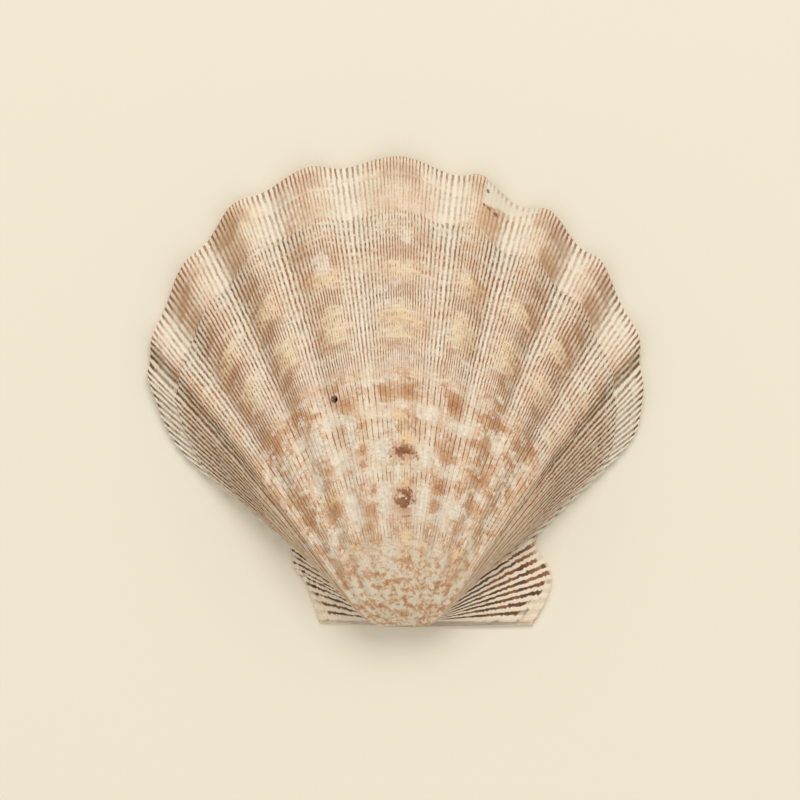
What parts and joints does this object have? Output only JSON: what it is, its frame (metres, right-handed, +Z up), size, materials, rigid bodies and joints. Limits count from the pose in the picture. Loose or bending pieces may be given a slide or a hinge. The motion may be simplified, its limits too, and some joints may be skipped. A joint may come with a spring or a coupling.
{
  "type": "scallop shell",
  "caption": "Single valve of a broad-ribbed scallop with fine radial threads and two striped ears, lying hollow side down.",
  "frame": {"origin": "centre of the valve's outline seen from above, at the surface it lies on", "axes": "+X along the hinge line, from the smaller ear to the larger; +Y from the hinge across the fan; +Z up, out of the rounded side"},
  "size_m": [0.0802, 0.076, 0.019],
  "materials": {
    "shell": "satin, worn"
  },
  "bodies": {
    "root": {"valve": "shell"}
  },
  "joints": []
}
